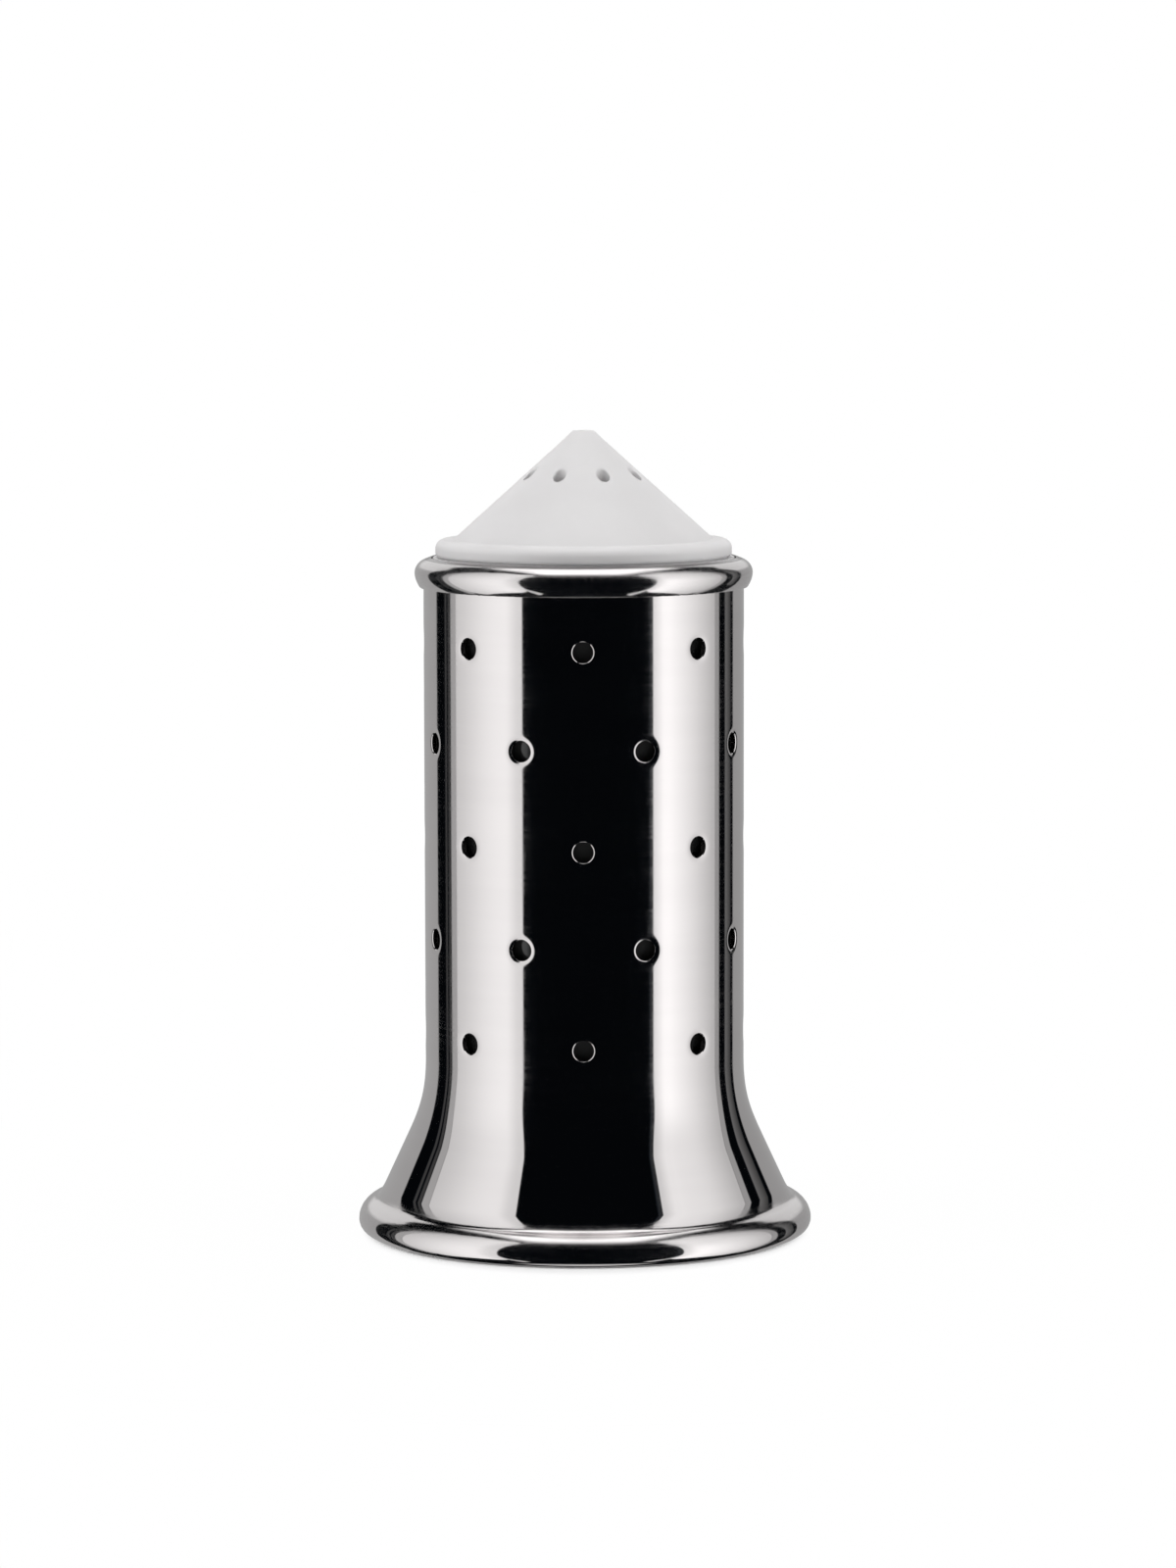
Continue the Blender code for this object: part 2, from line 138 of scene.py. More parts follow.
def rounded(corners, step=10.0, closed=True):
    """Section with every corner rounded: corners are (r, z, radius). Returns (r, z, nr, nz)."""
    out = []
    n = len(corners)
    for i in range(n):
        r, z, rho = corners[i]
        if not closed and i in (0, n - 1):
            q = corners[1] if i == 0 else corners[n - 2]
            normal = line_normal((r, z), q) if i == 0 else line_normal(q, (r, z))
            out.append((r, z, *normal))
            continue
        p, q = corners[i - 1], corners[(i + 1) % n]
        n1, n2 = line_normal(p, (r, z)), line_normal((r, z), q)
        cross = n1[0] * n2[1] - n1[1] * n2[0]
        turn = math.atan2(cross, n1[0] * n2[0] + n1[1] * n2[1])
        if abs(turn) < 1e-4:
            out.append((r, z, *n1))
            continue
        rho = max(rho, 0.02)
        side = -1.0 if turn < 0 else 1.0
        # walking down the outer side, an outside corner turns its normal clockwise (negative)
        half = abs(turn) / 2.0
        bis = (n1[0] + n2[0], n1[1] + n2[1])
        k = math.hypot(*bis)
        bis = (bis[0] / k, bis[1] / k)
        dist = rho / math.cos(half)
        centre = (r + side * dist * bis[0], z + side * dist * bis[1])
        count = max(2, int(math.ceil(math.degrees(abs(turn)) / step)))
        a0 = math.atan2(n1[1], n1[0])
        for c in range(count + 1):
            a = a0 + turn * c / count
            nr, nz = math.cos(a), math.sin(a)
            out.append((centre[0] - side * rho * nr, centre[1] - side * rho * nz, nr, nz))
    return out


def lathe(builder, section, closed=True, shape=None, count=ROUND, clock=0.0):
    """Turns a section of (r, z, nr, nz) round Z. shape(r, z, a) may move a point."""
    rings = []
    for r, z, nr, nz in section:
        if r < 1e-6:
            v = builder.vert((0.0, 0.0, z), (0.0, 0.0, 1.0 if nz > 0 else -1.0))
            rings.append([v] * count)
            continue
        ring = []
        for k in range(count):
            a = clock + 2.0 * math.pi * k / count
            rr, zz = shape(r, z, a) if shape else (r, z)
            ring.append(builder.vert(polar(rr, a, zz), polar(nr, a, nz)))
        rings.append(ring)
    pairs = list(zip(rings[:-1], rings[1:]))
    if closed:
        pairs.append((rings[-1], rings[0]))
    for a, b in pairs:
        builder.strip(b, a)
    return rings


def arc(cr, cz, rho, a0, a1, count, inward=False):
    """Arc in the section plane, angles from the top turning outwards; normals with it."""
    pts = []
    for i in range(count + 1):
        t = a0 + (a1 - a0) * i / count
        s, c = math.sin(t), math.cos(t)
        pts.append((cr + rho * s, cz + rho * c, -s if inward else s, -c if inward else c))
    return pts


def ellipse(cr, cz, a, b, t0, t1, count):
    pts = []
    for i in range(count + 1):
        t = t0 + (t1 - t0) * i / count
        s, c = math.sin(t), math.cos(t)
        n = math.hypot(s / a, c / b)
        pts.append((cr + a * s, cz + b * c, s / a / n, c / b / n))
    return pts


# -------------------------------------------------------------------------------- materials

class Graph:
    """Short names for building a node tree."""

    def __init__(self, tree):
        self.tree = tree

    def node(self, kind, **props):
        n = self.tree.nodes.new(kind)
        for k, v in props.items():
            setattr(n, k, v)
        return n

    def put(self, socket, value):
        if isinstance(value, bpy.types.NodeSocket):
            self.tree.links.new(value, socket)
        elif value is not None:
            socket.default_value = value

    def math(self, op, a, b=None, c=None, clamp=False):
        n = self.node("ShaderNodeMath", operation=op, use_clamp=clamp)
        for s, v in zip(n.inputs, (a, b, c)):
            self.put(s, v)
        return n.outputs[0]

    def ramp(self, x, x0, x1, y0=0.0, y1=1.0, kind="SMOOTHSTEP"):
        n = self.node("ShaderNodeMapRange", interpolation_type=kind, clamp=True)
        for s, v in zip(n.inputs, (x, x0, x1, y0, y1)):
            self.put(s, v)
        return n.outputs[0]

    def noise(self, vector, scale, detail=2.0, rough=0.5, lacunarity=2.0):
        n = self.node("ShaderNodeTexNoise")
        self.put(n.inputs["Vector"], vector)
        n.inputs["Scale"].default_value = scale
        n.inputs["Detail"].default_value = detail
        n.inputs["Roughness"].default_value = rough
        n.inputs["Lacunarity"].default_value = lacunarity
        return n.outputs["Fac"]

    def stretch(self, vector, scale):
        n = self.node("ShaderNodeMapping")
        self.put(n.inputs["Vector"], vector)
        n.inputs["Scale"].default_value = scale
        return n.outputs[0]

    def mix(self, fac, a, b):
        n = self.node("ShaderNodeMix", data_type="RGBA")
        self.put(n.inputs[0], fac)
        self.put(n.inputs[6], a)
        self.put(n.inputs[7], b)
        return n.outputs[2]

    def bump(self, height, strength, distance):
        n = self.node("ShaderNodeBump")
        self.put(n.inputs["Height"], height)
        n.inputs["Strength"].default_value = strength
        n.inputs["Distance"].default_value = distance
        return n.outputs[0]


def principled(name, **values):
    mat = bpy.data.materials.new(name)
    mat.use_nodes = True
    shader = mat.node_tree.nodes["Principled BSDF"]
    for k, v in values.items():
        shader.inputs[k.replace("_", " ")].default_value = v
    return mat, Graph(mat.node_tree), shader


def axis_coords(g):
    """Object coordinates: (x, y, z) of the object in metres."""
    return g.node("ShaderNodeTexCoord").outputs["Object"]


def steel_material(name, base, zones, haze):
    """Mirror-polished sheet with fine polishing lines round the axis, softer on some heights.

    base is the roughness, zones lists (z0, z1, amount) in mm: roughness that is added smoothly
    between the two heights. haze is (low, z0, z1, high): how strong the veil of a last fine polish
    is below and above a height. What is set back from the outer face (a hole's wall, the inner faces) gets a much
    darker base colour: painted shade in the holes."""
    mat, g, s = principled(name, Metallic=1.0, Anisotropic=0.9, Anisotropic_Rotation=0.25)
    g.put(s.inputs["Tangent"], g.node("ShaderNodeTangent", direction_type="RADIAL", axis="Z").outputs[0])
    co = axis_coords(g)
    sep = g.node("ShaderNodeSeparateXYZ")
    g.put(sep.inputs[0], co)
    fine = g.noise(g.stretch(co, (38.0, 38.0, 5200.0)), 1.0, 3.0, 0.6)
    broad = g.noise(g.stretch(co, (30.0, 30.0, 300.0)), 1.0, 2.0, 0.5)
    hatch = g.noise(g.stretch(co, (1500.0, 1500.0, 160.0)), 1.0, 2.0, 0.55)
    lines = g.math("MULTIPLY", g.ramp(fine, 0.32, 0.70, 0.62, 1.30), g.ramp(broad, 0.30, 0.66, 0.86, 1.10))
    rough = base
    for z0, z1, amount in zones:
        part = g.ramp(sep.outputs[2], z0 * MM, z1 * MM)
        rough = g.math("MULTIPLY_ADD", part, amount, rough)
    rough = g.math("MULTIPLY", rough, lines)
    rough = g.math("MULTIPLY", rough, g.ramp(hatch, 0.30, 0.70, 0.85, 1.15))
    g.put(s.inputs["Roughness"], g.math("MAXIMUM", rough, 0.02))
    low, z0, z1, high = haze
    veil = g.ramp(sep.outputs[2], z0 * MM, z1 * MM, low, high)
    grain = g.noise(g.stretch(co, (160.0, 160.0, 3400.0)), 1.0, 2.0, 0.6)
    g.put(s.inputs["Coat Weight"], g.math("MULTIPLY", veil, g.ramp(grain, 0.38, 0.66, 0.25, 1.6), clamp=True))
    g.put(s.inputs["Coat Roughness"], g.ramp(broad, 0.3, 0.7, 0.36, 0.44))
    tone = g.mix(g.ramp(broad, 0.3, 0.7), (0.708, 0.683, 0.682, 1.0), (0.728, 0.703, 0.701, 1.0))
    # painted shade: the base colour is darkened to 0.30 on everything more than about 0.26 mm inside the tube's outer
    # radius (hole walls, inner faces), so the holes read dark
    reach = g.node("ShaderNodeVectorMath", operation="LENGTH")
    g.put(reach.inputs[0], g.stretch(co, (1.0, 1.0, 0.0)))
    tone = g.mix(g.ramp(reach.outputs["Value"], (TUBE_R - 0.26) * MM, (TUBE_R - 0.16) * MM),
                 (0.30, 0.285, 0.285, 1.0), tone)
    g.put(s.inputs["Base Color"], tone)
    return mat


def white_material():
    """Moulded white polyamide: soft sheen, faint grain and a little light in the surface."""
    mat, g, s = principled("white_plastic", Subsurface_Weight=0.22, Subsurface_Scale=0.002)
    s.inputs["Subsurface Radius"].default_value = (1.0, 0.96, 0.93)
    s.inputs["IOR"].default_value = 1.53
    co = axis_coords(g)
    grain = g.noise(co, 5200.0, 2.0, 0.55)
    blotch = g.noise(co, 160.0, 3.0, 0.5)
    g.put(s.inputs["Base Color"], g.mix(g.ramp(blotch, 0.3, 0.7),
                                        (0.732, 0.721, 0.724, 1.0), (0.750, 0.739, 0.742, 1.0)))
    g.put(s.inputs["Roughness"], g.math("MULTIPLY_ADD", blotch, 0.10, 0.42))
    g.put(s.inputs["Normal"], g.bump(grain, 0.10, 0.00003))
    return mat


def dark_material(name, tone, lift, rough):
    """Dark moulded plastic with a fine grain."""
    mat, g, s = principled(name, IOR=1.6)
    co = axis_coords(g)
    grain = g.noise(co, 3600.0, 3.0, 0.6)
    cloud = g.noise(co, 120.0, 2.0, 0.5)
    lo, hi = tone, tone + lift
    g.put(s.inputs["Base Color"], g.mix(cloud, (lo, lo, lo * 1.02, 1.0), (hi, hi, hi * 1.02, 1.0)))
    g.put(s.inputs["Roughness"], g.math("MULTIPLY_ADD", grain, rough * 0.6, rough))
    g.put(s.inputs["Normal"], g.bump(grain, 0.5 * rough, 0.00005))
    return mat


def seal_material():
    """Soft silicone: milky, slightly translucent, dusty sheen."""
    mat, g, s = principled("seal_rubber", Subsurface_Weight=0.25, Subsurface_Scale=0.0008)
    co = axis_coords(g)
    cloud = g.noise(co, 300.0, 3.0, 0.55)
    g.put(s.inputs["Base Color"], g.mix(cloud, (0.58, 0.58, 0.56, 1.0), (0.68, 0.68, 0.66, 1.0)))
    g.put(s.inputs["Roughness"], g.math("MULTIPLY_ADD", cloud, 0.25, 0.42))
    g.put(s.inputs["Normal"], g.bump(g.noise(co, 2500.0, 2.0), 0.12, 0.00004))
    return mat


def screw_material():
    """Satin screw steel with turning marks round its axis."""
    mat, g, s = principled("screw_steel", Metallic=1.0)
    co = axis_coords(g)
    radius = g.node("ShaderNodeVectorMath", operation="LENGTH")
    g.put(radius.inputs[0], g.stretch(co, (1.0, 1.0, 0.0)))
    rings = g.node("ShaderNodeCombineXYZ")
    g.put(rings.inputs[0], radius.outputs["Value"])
    marks = g.noise(rings.outputs[0], 9000.0, 2.0, 0.6)
    cloud = g.noise(co, 500.0, 2.0)
    g.put(s.inputs["Base Color"], g.mix(cloud, (0.50, 0.50, 0.50, 1.0), (0.62, 0.62, 0.61, 1.0)))
    g.put(s.inputs["Roughness"], g.math("MULTIPLY_ADD", marks, 0.22, 0.20))
    g.put(s.inputs["Normal"], g.bump(marks, 0.25, 0.00003))
    return mat


STEEL = steel_material("polished_steel", 0.07, ((1.8, 2.8, 0.08), (4.2, 5.4, -0.115), (11.0, 23.0, 0.07)),
                       (0.5, 2.6, 3.4, 0.0))
RIM = steel_material("polished_rim", 0.09, ((81.8, 82.8, 0.08),), (0.5, 80.0, 81.0, 0.5))
WHITE = white_material()
DARK = dark_material("dark_plastic", 0.026, 0.012, 0.09)
BASE = dark_material("base_plastic", 0.016, 0.012, 0.34)
SEAL = seal_material()
SCREW = screw_material()


# ------------------------------------------------------------------------------ the sleeve

def flare_point(offset, t):
    rho = FLARE_R + offset
    return (TUBE_R + FLARE_R - rho * math.cos(t), FLARE_START - rho * math.sin(t))


def flare_line(offset, z):
    r0, z0 = flare_point(offset, FLARE_ANGLE)
    return r0 + (z0 - z) * math.tan(FLARE_ANGLE)


def turn_arc(out, tilt, radius, count):
    """Goes on from the last point of a section until the wall's normal has the given tilt."""
    r, z, nr, nz = out[-1]
    n0 = math.atan2(nz, nr)
    side = 1.0 if tilt > n0 else -1.0
    for i in range(1, count + 1):
        n = n0 + (tilt - n0) * i / count
        out.append((r + side * radius * (math.cos(n0) - math.cos(n)),
                    z - side * radius * (math.sin(n) - math.sin(n0)), math.cos(n), math.sin(n)))


def foot_section():
    """From the tube's last row of cells down the flare, over the bead and back up inside."""
    def tilt(s):
        k = min(s / FLARE_BEND, 1.0)
        ease = k - FLARE_EASE * math.sin(2.0 * math.pi * k) / (2.0 * math.pi)
        return FLARE_TILT * ease + FLARE_TURN * max(s - FLARE_BEND, 0.0)

    out, r, z, per, rows = [], TUBE_R, FLARE_TOP, 20, 44
    step = FLARE_LENGTH / (per * rows)
    for i in range(per * rows):
        n = tilt((i + 0.5) * step)
        r, z = r + math.sin(n) * step, z - math.cos(n) * step
        if (i + 1) % per == 0:
            n = tilt((i + 1) * step)
            out.append((r, z, math.cos(n), math.sin(n)))
    # crease, bead, and the edge it stands on
    turn_arc(out, WIDE_TILT, WIDE_R, 10)
    turn_arc(out, CREASE_TILT, CREASE_R, 16)
    turn_arc(out, 0.0, BEAD_UP, 36)
    turn_arc(out, BEAD_LAST, BEAD_DOWN, 12)
    turn_arc(out, -math.pi / 2.0, out[-1][1] / (1.0 + math.sin(BEAD_LAST)), 12)
    out[-1] = (out[-1][0], 0.0, 0.0, -1.0)
    out += rounded([(out[-1][0], 0.0, 0.0), (FOOT_INNER, 0.0, 0.12),
                    (flare_line(WALL, 0.5), 0.5, 0.2), (flare_line(WALL, 3.0), 3.0, 0.0)],
                   closed=False)[1:-1]
    inner = []
    for i in range(0, 13):
        t = FLARE_ANGLE * (i / 12.0)
        r, z = flare_point(WALL, t)
        inner.append((r, z, -math.cos(t), -math.sin(t)))
    out += list(reversed(inner))
    return [(r, max(z, 0.0), nr, nz) for r, z, nr, nz in out]


def dish(d):
    """Depth and slope of the dished lip at distance d from a hole's rim."""
    if d >= DISH_WIDTH:
        return 0.0, 0.0
    k = 1.0 - d / DISH_WIDTH
    return math.tan(DISH_SLOPE) * DISH_WIDTH * k ** 3 / 3.0, DISH_SLOPE * k * k


def make_sleeve():
    b = Builder()
    cols, side = 12, 8
    half = math.pi / 8.0
    z_edges = [80.0] + [HOLE_TOP - HOLE_PITCH * (i + 0.5) for i in range(4)] + [FLARE_TOP]
    inner_r = TUBE_R - WALL

    def border(row):
        """Points round a cell, counter-clockwise seen from outside, as (azimuth, z) offsets."""
        top, bottom = z_edges[row], z_edges[row + 1]
        pts = []
        for i in range(cols):
            pts.append((half - 2 * half * i / cols, top))
        for i in range(side):
            pts.append((-half, top + (bottom - top) * i / side))
        for i in range(cols):
            pts.append((-half + 2 * half * i / cols, bottom))
        for i in range(side):
            pts.append((half, bottom + (top - bottom) * i / side))
        return pts

    def key(kind, a, z):
        return (kind, round(a / math.radians(0.05)) % 7200, round(z * 1000))

    for row in range(5):
        zc = HOLE_TOP - HOLE_PITCH * row
        edge = border(row)
        for col in range(8):
            ac = 2.0 * math.pi * (col + 0.5 * (row % 2)) / 8.0
            theta = [math.atan2(z - zc, TUBE_R * a) for a, z in edge]
            rings = []
            # outside, from the cell's border to the dished zone
            ring = [b.vert(polar(TUBE_R, ac + a, z), polar(1.0, ac + a, 0.0), key("o", ac + a, z))
                    for a, z in edge]
            rings.append(ring)
            depth, slope = dish(0.0)
            bevel = math.radians(37.0)
            rim = HOLE_R + RIM_WIDTH * math.cos(bevel) + RIM_ROUND * (1.0 - math.sin(slope))
            zone = rim + DISH_WIDTH
            for k in (0.84, 0.68, 0.52, 0.36, 0.20, 0.08):
                ring = []
                for (a, z), t in zip(edge, theta):
                    u = zone * math.cos(t) * (1 - k) + TUBE_R * a * k
                    v = zone * math.sin(t) * (1 - k) + (z - zc) * k
                    aa = ac + u / TUBE_R
                    ring.append(b.vert(polar(TUBE_R, aa, zc + v), polar(1.0, aa, 0.0)))
                rings.append(ring)
            # dished lip
            steps = [1.0, 0.8, 0.62, 0.46, 0.32, 0.20, 0.10, 0.0]
            for d in steps:
                depth, slope = dish(d * DISH_WIDTH)
                rad = rim + d * DISH_WIDTH
                ring = []
                for t in theta:
                    u, v = rad * math.cos(t), rad * math.sin(t)
                    aa = ac + u / TUBE_R
                    n = local_normal(aa, -math.sin(slope) * math.cos(t),
                                     -math.sin(slope) * math.sin(t), math.cos(slope))
                    ring.append(b.vert(polar(TUBE_R - depth, aa, zc + v), n))
                rings.append(ring)
            # bevelled rim, then the wall of the hole, then the inner rim
            depth, slope = dish(0.0)
            for i in range(1, 10):
                e = slope + (bevel - slope) * min(i, 4) / 4.0
                if i > 5:
                    e = bevel + (math.pi / 2.0 - bevel) * (i - 5) / 4.0
                run = RIM_WIDTH if i > 4 else 0.0
                rad = rim - RIM_ROUND * (math.sin(e) - math.sin(slope)) - run * math.cos(bevel)
                dep = depth + RIM_ROUND * (math.cos(slope) - math.cos(e)) + run * math.sin(bevel)
                rings.append(hole_ring(b, ac, zc, theta, rad, TUBE_R - dep, e))
            bore = HOLE_R
            for i in range(0, 4):
                e = math.pi / 2.0 + math.pi / 2.0 * i / 3.0
                rad = bore + INNER_EDGE * (1.0 - math.sin(e))
                dep = WALL - INNER_EDGE - INNER_EDGE * math.cos(e)
                rings.append(hole_ring(b, ac, zc, theta, rad, TUBE_R - dep, e))
            for k in (0.5,):
                ring = []
                for (a, z), t in zip(edge, theta):
                    u = zone * math.cos(t) * (1 - k) + TUBE_R * a * k
                    v = zone * math.sin(t) * (1 - k) + (z - zc) * k
                    aa = ac + u / TUBE_R
                    ring.append(b.vert(polar(inner_r, aa, zc + v), polar(-1.0, aa, 0.0)))
                rings.append(ring)
            ring = [b.vert(polar(inner_r, ac + a, z), polar(-1.0, ac + a, 0.0), key("i", ac + a, z))
                    for a, z in edge]
            rings.append(ring)
            for p, q in zip(rings[:-1], rings[1:]):
                b.strip(p, q)

    def full_ring(r, z, nr, nz, kind=None):
        return [b.vert(polar(r, 2 * math.pi * k / ROUND, z), polar(nr, 2 * math.pi * k / ROUND, nz),
                       key(kind, 2 * math.pi * k / ROUND, z) if kind else None)
                for k in range(ROUND)]

    # upper edge, hidden inside the collar
    top = [full_ring(TUBE_R, 80.0, 1.0, 0.0, "o")]
    for r, z, nr, nz in rounded([(TUBE_R, 80.0, 0.0), (TUBE_R, SLEEVE_TOP, 0.2), (inner_r, SLEEVE_TOP, 0.2),
                                 (inner_r, 80.0, 0.0)], closed=False)[1:-1]:
        top.append(full_ring(r, z, -nr, -nz))
    top.append(full_ring(inner_r, 80.0, -1.0, 0.0, "i"))
    for p, q in zip(top[:-1], top[1:]):
        b.strip(p, q)
    # flare and foot
    low = [full_ring(TUBE_R, FLARE_TOP, 1.0, 0.0, "o")]
    for r, z, nr, nz in foot_section():
        low.append(full_ring(r, z, nr, nz))
    low.append(full_ring(inner_r, FLARE_TOP, -1.0, 0.0, "i"))
    for p, q in zip(low[:-1], low[1:]):
        b.strip(q, p)
    return b.make("sleeve_shell", STEEL)


def local_normal(a, nu, nv, nw):
    """Normal from parts along the circumference, up the axis and outwards."""
    out = Vector(polar(1.0, a, 0.0))
    round_ = Vector((math.cos(a), math.sin(a), 0.0))
    n = out * nw + round_ * nu + Vector((0.0, 0.0, nv))
    return tuple(n.normalized())


def hole_ring(b, ac, zc, theta, rad, r, e):
    """Ring of a hole's wall; e is 0 facing out, 90 facing the hole's axis, 180 facing in."""
    ring = []
    for t in theta:
        u, v = rad * math.cos(t), rad * math.sin(t)
        aa = ac + u / TUBE_R
        n = local_normal(aa, -math.sin(e) * math.cos(t), -math.sin(e) * math.sin(t), math.cos(e))
        ring.append(b.vert(polar(r, aa, zc + v), n))
    return ring


# ------------------------------------------------------------------------------ the collar

def collar_bead():
    """Outline of the bead, from its inner top edge over the widest point down to the lip."""
    def radius(deg):
        for (d0, r0), (d1, r1) in zip(COLLAR_BEND[:-1], COLLAR_BEND[1:]):
            if deg >= d1:
                return r0 + (r1 - r0) * (d0 - deg) / (d0 - d1)
        return COLLAR_BEND[-1][1]

    def walk(end, step):
        r, z, deg, pts = COLLAR_R, COLLAR_Z, 0.0, []
        while abs(deg - end) > 1e-6:
            n, ds = math.radians(deg + step / 2.0), radius(deg + step / 2.0) * math.radians(step)
            r, z, deg = r - math.sin(n) * ds, z + math.cos(n) * ds, deg + step
            pts.append((r, z, math.cos(math.radians(deg)), math.sin(math.radians(deg))))
            if step < 0.0 and r < TUBE_R + LIP_GAP + LIP_ROUND * (1.0 + pts[-1][2]):
                break
            if step > 0.0 and r < SHOULDER_IN + 0.3:
                break
        return pts

    up = walk(90.0, 0.25)[::-1]
    return up[::6] + [(COLLAR_R, COLLAR_Z, 1.0, 0.0)] + walk(-60.0, -0.5)[1::2]


def make_collar():
    b = Builder()
    groove_in, groove_top = 18.88, 81.5
    spigot_in, spigot_low, ledge_z, ledge_out = 18.48, 78.5, 82.2, SHOULDER_IN
    # bead from its inner top edge to the lip that closes on the tube
    bead = collar_bead()
    end = bead[-1]
    lip = (end[0] - LIP_ROUND * end[2], end[1] - LIP_ROUND * end[3])
    groove_out = lip[0] - LIP_ROUND
    section = bead + arc(lip[0], lip[1], LIP_ROUND, math.atan2(end[2], end[3]), math.pi * 1.5, 12)[1:]
    section += rounded([(groove_out, lip[1], 0.0), (groove_out, groove_top, 0.1), (groove_in, groove_top, 0.1),
                        (groove_in, spigot_low, 0.15), (spigot_in, spigot_low, 0.15),
                        (spigot_in, ledge_z, 0.12), (ledge_out, ledge_z, 0.1),
                        (ledge_out, bead[0][1] + (bead[0][0] - ledge_out) * bead[0][2] / bead[0][3], 0.1),
                        (bead[0][0], bead[0][1], 0.0)], closed=False)[1:-1]

    def rough_lip(r, z, a):
        """The rolled edge is not quite even where it meets the tube."""
        d = math.hypot(r - lip[0], z - lip[1])
        if d > LIP_ROUND + 0.02 or z > lip[1] + 0.02:
            return r, z
        w = sum(math.sin(k * a + p) for k, p in ((53, 0.3), (89, 1.7), (137, 2.9), (173, 0.8), (197, 4.1))) / 5.0
        return r + 0.012 * w, z + 0.05 * w

    lathe(b, section, count=432, shape=rough_lip)
    return b.make("collar_ring", RIM)


# ----------------------------------------------------------------------- container and cap

def ridge(z, a, start, turns, clock=0.03):
    """Height (0 to 1) of a thread ridge at a point of the wall, faded at both ends."""
    best = 0.0
    turn = ((math.pi / 2.0 * 3 + a - clock) % (2.0 * math.pi)) / (2.0 * math.pi)
    for k in (-1, 0, 1, 2):
        t = turn + k
        if t < -0.02 or t > turns + 0.02:
            continue
        fade = min(1.0, max(0.0, (t + 0.02) / 0.05), 1.0) * min(1.0, max(0.0, (turns + 0.02 - t) / 0.05))
        d = abs(z - (start + PITCH * t))
        if d < RIDGE_TIP:
            h = 1.0
        elif d < RIDGE_BASE:
            x = (RIDGE_BASE - d) / (RIDGE_BASE - RIDGE_TIP)
            h = x * x * (3.0 - 2.0 * x)
        else:
            h = 0.0
        best = max(best, h * fade)
    return best


def fine(section, z0, z1, step):
    """Adds points on straight vertical runs between two heights."""
    out = [section[0]]
    for p, q in zip(section[:-1], section[1:]):
        if abs(p[0] - q[0]) < 1e-6 and abs(p[1] - q[1]) > step and min(p[1], q[1]) >= z0 - 1e-6 \
                and max(p[1], q[1]) <= z1 + 1e-6:
            n = int(math.ceil(abs(p[1] - q[1]) / step))
            for i in range(1, n):
                out.append((p[0], p[1] + (q[1] - p[1]) * i / n, p[2], p[3]))
        out.append(q)
    return out


def make_container():
    b = Builder()
    first = rounded([(NECK_IN, CONT_TOP - 3.0, 0.0), (NECK_IN, CONT_TOP, 0.2), (CONT_RIM, CONT_TOP, 0.15),
                     (CONT_RIM, CONT_RIM_Z, 0.12), (CONT_OUT, CONT_RIM_Z, 0.2), (CONT_OUT, CONT_BOTTOM, 2.0),
                     (BOSS_R, CONT_BOTTOM, 0.4), (BOSS_R, BOSS_BOTTOM, 0.3), (PILOT_R, BOSS_BOTTOM, 0.15),
                     (PILOT_R, PILOT_TOP, 0.2), (0.0, PILOT_TOP + 0.3, 0.0)], closed=False)
    first[-1] = (0.0, PILOT_TOP + 0.3, 0.0, -1.0)
    second = rounded([(0.0, BOSS_TOP, 0.0), (BOSS_R - 0.6, BOSS_TOP, 0.4), (BOSS_R, CONT_FLOOR, 0.4),
                      (CONT_IN, CONT_FLOOR, 1.5), (CONT_IN, NECK_Z, 0.5), (NECK_IN, NECK_Z + 0.8, 0.4),
                      (NECK_IN, CONT_TOP - 3.0, 0.0)], closed=False)
    second[0] = (0.0, BOSS_TOP, 0.0, 1.0)
    # up the inside, over the rim and down the outside
    inside = fine(second, NECK_Z + 0.5, CONT_TOP, 0.12)
    up = fine(first[:2], NECK_Z, CONT_TOP, 0.12)[1:-1]

    def thread(r, z, a):
        if abs(r - NECK_IN) < 0.05:
            return r - (NECK_IN - NECK_CREST) * ridge(z, a, NECK_THREAD_Z, NECK_THREAD_TURNS), z
        return r, z

    lathe(b, inside + up + first[1:], closed=False, shape=thread, count=128)
    return b.make("salt_container", DARK, own_normals=False)


def cone_z(r, inset=0.0):
    slant = math.sqrt(1.0 + CONE_RATIO ** 2)
    return CONE_TOP_Z - (r - CONE_TOP_R + inset * slant) / CONE_RATIO


